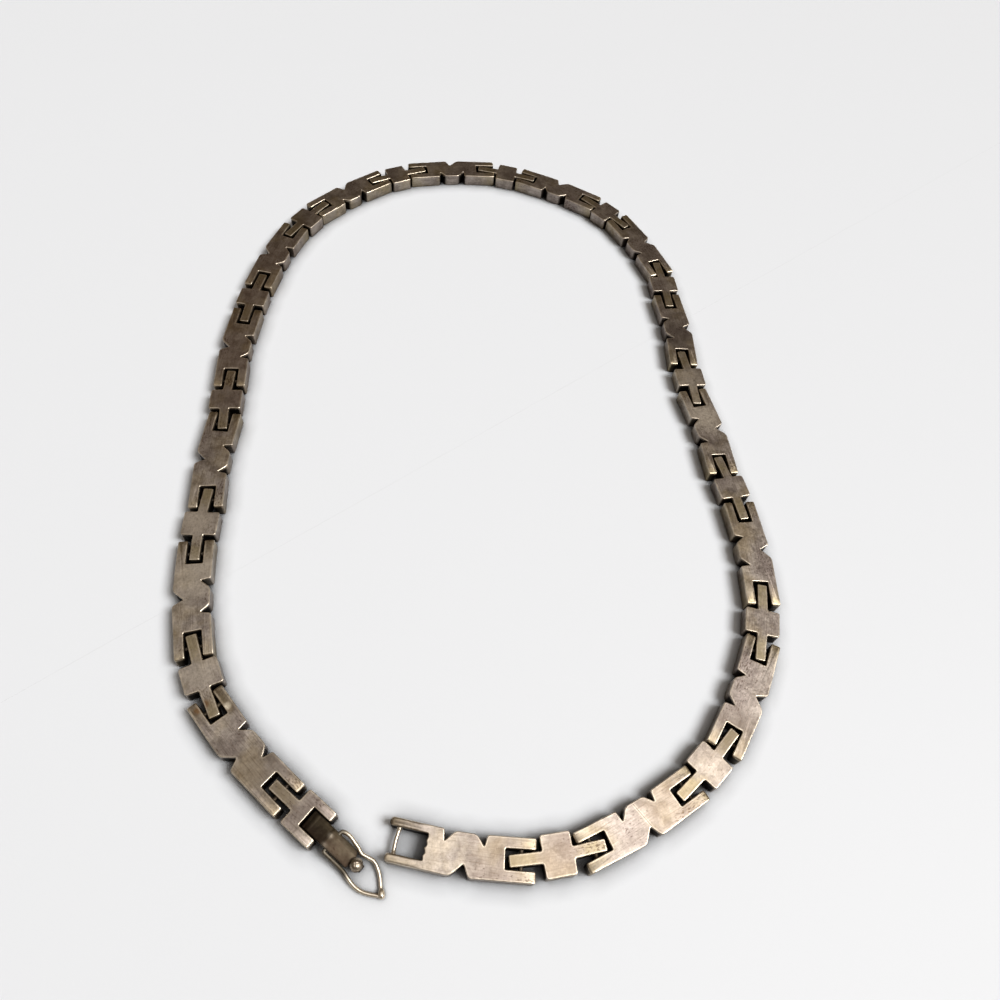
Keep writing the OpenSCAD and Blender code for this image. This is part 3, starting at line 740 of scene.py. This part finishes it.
def soft_light():
    """A room that is pale overhead, dim and brown towards its walls, with a pale backdrop behind the
    board; broad soft daylight from above the right, which throws the shadows to the left; and
    overhead a bright card that shows only in the metal, as a photographer holds one over silver."""
    world = bpy.data.worlds.new("room")
    bpy.context.scene.world = world
    tree = blank_tree(world)
    toward = add(tree, "ShaderNodeTexCoord").outputs["Generated"]
    facing = add(tree, "ShaderNodeVectorMath", {0: toward, 1: (-0.119, -0.05, 0.992)},
                 operation="DOT_PRODUCT").outputs["Value"]
    ceiling = add(tree, "ShaderNodeMapRange", {0: facing, 1: 0.69, 2: 0.9, 3: 0.0, 4: 1.0},
                  interpolation_type="SMOOTHSTEP").outputs[0]
    colour = add(tree, "ShaderNodeMix", {0: ceiling, 6: linear("#C9A87A"), 7: linear("#FFF9F3")},
                 data_type="RGBA").outputs[2]
    strength = add(tree, "ShaderNodeMapRange", {0: ceiling, 3: 0.165, 4: 0.66}).outputs[0]
    sky = add(tree, "ShaderNodeBackground", {0: colour, 1: strength})
    behind = add(tree, "ShaderNodeBackground", {0: linear("#E4E6E8"), 1: 1.0})
    seen = add(tree, "ShaderNodeLightPath").outputs["Is Camera Ray"]
    shown = add(tree, "ShaderNodeMixShader", {0: seen, 1: sky.outputs[0], 2: behind.outputs[0]})
    add(tree, "ShaderNodeOutputWorld", {"Surface": shown.outputs[0]})

    daylight = bpy.data.lights.new("daylight", "SUN")
    daylight.energy, daylight.angle, daylight.color = 3.2, math.radians(30), (1.0, 0.99, 0.98)
    card = bpy.data.lights.new("card", "AREA")
    card.shape, card.size, card.size_y = "ELLIPSE", 0.4, 0.24
    card.energy, card.color = 1.7, (1.0, 0.96, 0.92)
    for lamp, place, turn in ((daylight, (0.55, -0.06, 0.75), 0), (card, (0.2, 0.02, 1.0), 25)):
        obj = put(lamp.name, lamp)
        obj.location = place
        obj.rotation_mode = "QUATERNION"
        obj.rotation_quaternion = (obj.location.to_track_quat("Z", "Y")
                                   @ Quaternion((0, 0, 1), math.radians(turn)))
        obj.visible_diffuse = lamp is not card


def floor():
    """The pale board that the chain lies on, 40 m across so that it reaches the backdrop."""
    mesh = bpy.data.meshes.new("board")
    mesh.from_pydata([(-20, -20, 0), (20, -20, 0), (20, 20, 0), (-20, 20, 0)], [], [(0, 1, 2, 3)])
    mesh.materials.append(painted_board())
    board = put("board", mesh)


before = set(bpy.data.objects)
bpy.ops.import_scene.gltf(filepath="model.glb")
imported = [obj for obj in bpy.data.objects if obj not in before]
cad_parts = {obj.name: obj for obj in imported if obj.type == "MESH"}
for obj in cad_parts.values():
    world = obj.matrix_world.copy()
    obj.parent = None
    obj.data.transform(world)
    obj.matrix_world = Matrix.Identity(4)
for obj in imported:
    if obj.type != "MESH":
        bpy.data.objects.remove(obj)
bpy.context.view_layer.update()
bpy.context.scene.view_settings.view_transform = "Standard"
photo_camera()
soft_light()
floor()

notched_places, cross_places, end_place = chain_places()
notched_silver = tarnished_silver("tarnished_brushed_silver_bars", "#B3A99E", "#7F756B", "#A5977A",
                                  7.0, 11.4, SEAMS)
cross_silver = tarnished_silver("tarnished_brushed_silver_crosses", "#B3A99E", "#7F756B", "#978A6E", 2.2, 4.4)
# The hook's colours are darker than the links', partly as tarnish and partly as painted shade on its slopes.
hook_silver = tarnished_silver("tarnished_and_shaded_silver_hook", "#837864", "#54493C", "#5A4A34", 30.0, 40.0,
                               rough=0.42, tints=("#5F4A3E", "#7B6C4E"))
wire_silver = tarnished_silver("worn_silver_wire", "#EAE0CC", "#B8AC95", "#A8946A", 30.0, 40.0, rough=0.4)

far_end = way(REACH + PIN_IN, NOTCHED_BEND) + (REACH, 0)
for k, place in enumerate(notched_places):
    near, bars_to = fork_end(SLOT_D, SLOT_W), None
    first = pin_across(0, SLOT_W, PIN_R)
    if k == 0:
        near = fork_end(CATCH_L, CATCH_W, CATCH_REACH, 0.55, SAW_CUT)
        bars_to = CATCH_L - PIN_IN - PRONG_FADE
        # The catch's bar is painted pale all over through its wear, partly as worn bare metal and partly as a
        # painted highlight.
        first = pin_across(BAR_IN - PIN_IN, CATCH_W, BAR_R, BAR_BOW, BAR_SOLDER, wear_and_glints=1.0, soot_and_shade=0.02)
    last = placed(pin_across(0, SLOT_W, PIN_R), (*(way(REACH, NOTCHED_BEND) + (REACH, 0)), NOTCHED_BEND))
    name = f"notched_link_{k + 1:02d}"
    ends = [(-PIN_IN - (CATCH_REACH / 2 if k == 0 else 0), 0, 180), (*far_end, NOTCHED_BEND)]
    mesh = mesh_of(placed(joined(slab(notched_rows(near), k, ends, bars_to), first, last), place), name)
    finish_link(mesh, place, (REACH, 0, NOTCHED_BEND / 2), k, NOTCHED_BEND)
    piece("silver_" + name, mesh, "chain", name, notched_silver)

far_eye = (*(way(CROSS_L, CROSS_BEND / 2) + way(ARM, CROSS_BEND) + (ARM, 0)), CROSS_BEND)
for k, place in enumerate(cross_places):
    name = f"cross_link_{k + 1:02d}"
    mesh = bored(mesh_of(slab(cross_rows(), CROSS_SEED + k), name), [(0, 0, 0), far_eye])
    lay(mesh, place)
    middle = way(CROSS_L / 2, CROSS_BEND / 2) + (ARM, 0)
    finish_link(mesh, place, (*middle, CROSS_BEND / 2), CROSS_SEED + k)
    piece("silver_" + name, mesh, "chain", name, cross_silver)

hinge = pin_across(ARM + END_L - HOOK_PIN_IN, HOOK_SLOT_W, HOOK_PIN_R)
mesh = mesh_of(joined(slab(end_rows(), END_SEED, [(ARM + END_L, 0, 0)]), hinge), "end_link")
mesh = bored(mesh, [(0, 0, 0)])
lay(mesh, end_place)
finish_link(mesh, end_place, (ARM + END_L / 2, 0, 0), END_SEED)
piece("silver_end_link", mesh, "chain", "end_link", cross_silver)

hook_pin = np.array(end_place[:2]) + way(ARM + END_L - HOOK_PIN_IN, end_place[2])
hook_place = (*hook_pin, end_place[2])
hook = placed(joined(strap(), barrel(), ball()), hook_place, MID_Z)
piece("silver_clasp_hook", mesh_of(hook, "clasp_hook"), "hook", "clasp_hook", hook_silver)
wire = placed(safety_wire(), hook_place, MID_Z)
piece("silver_safety_wire", mesh_of(wire, "safety_wire"), "safety", "safety_wire", wire_silver)
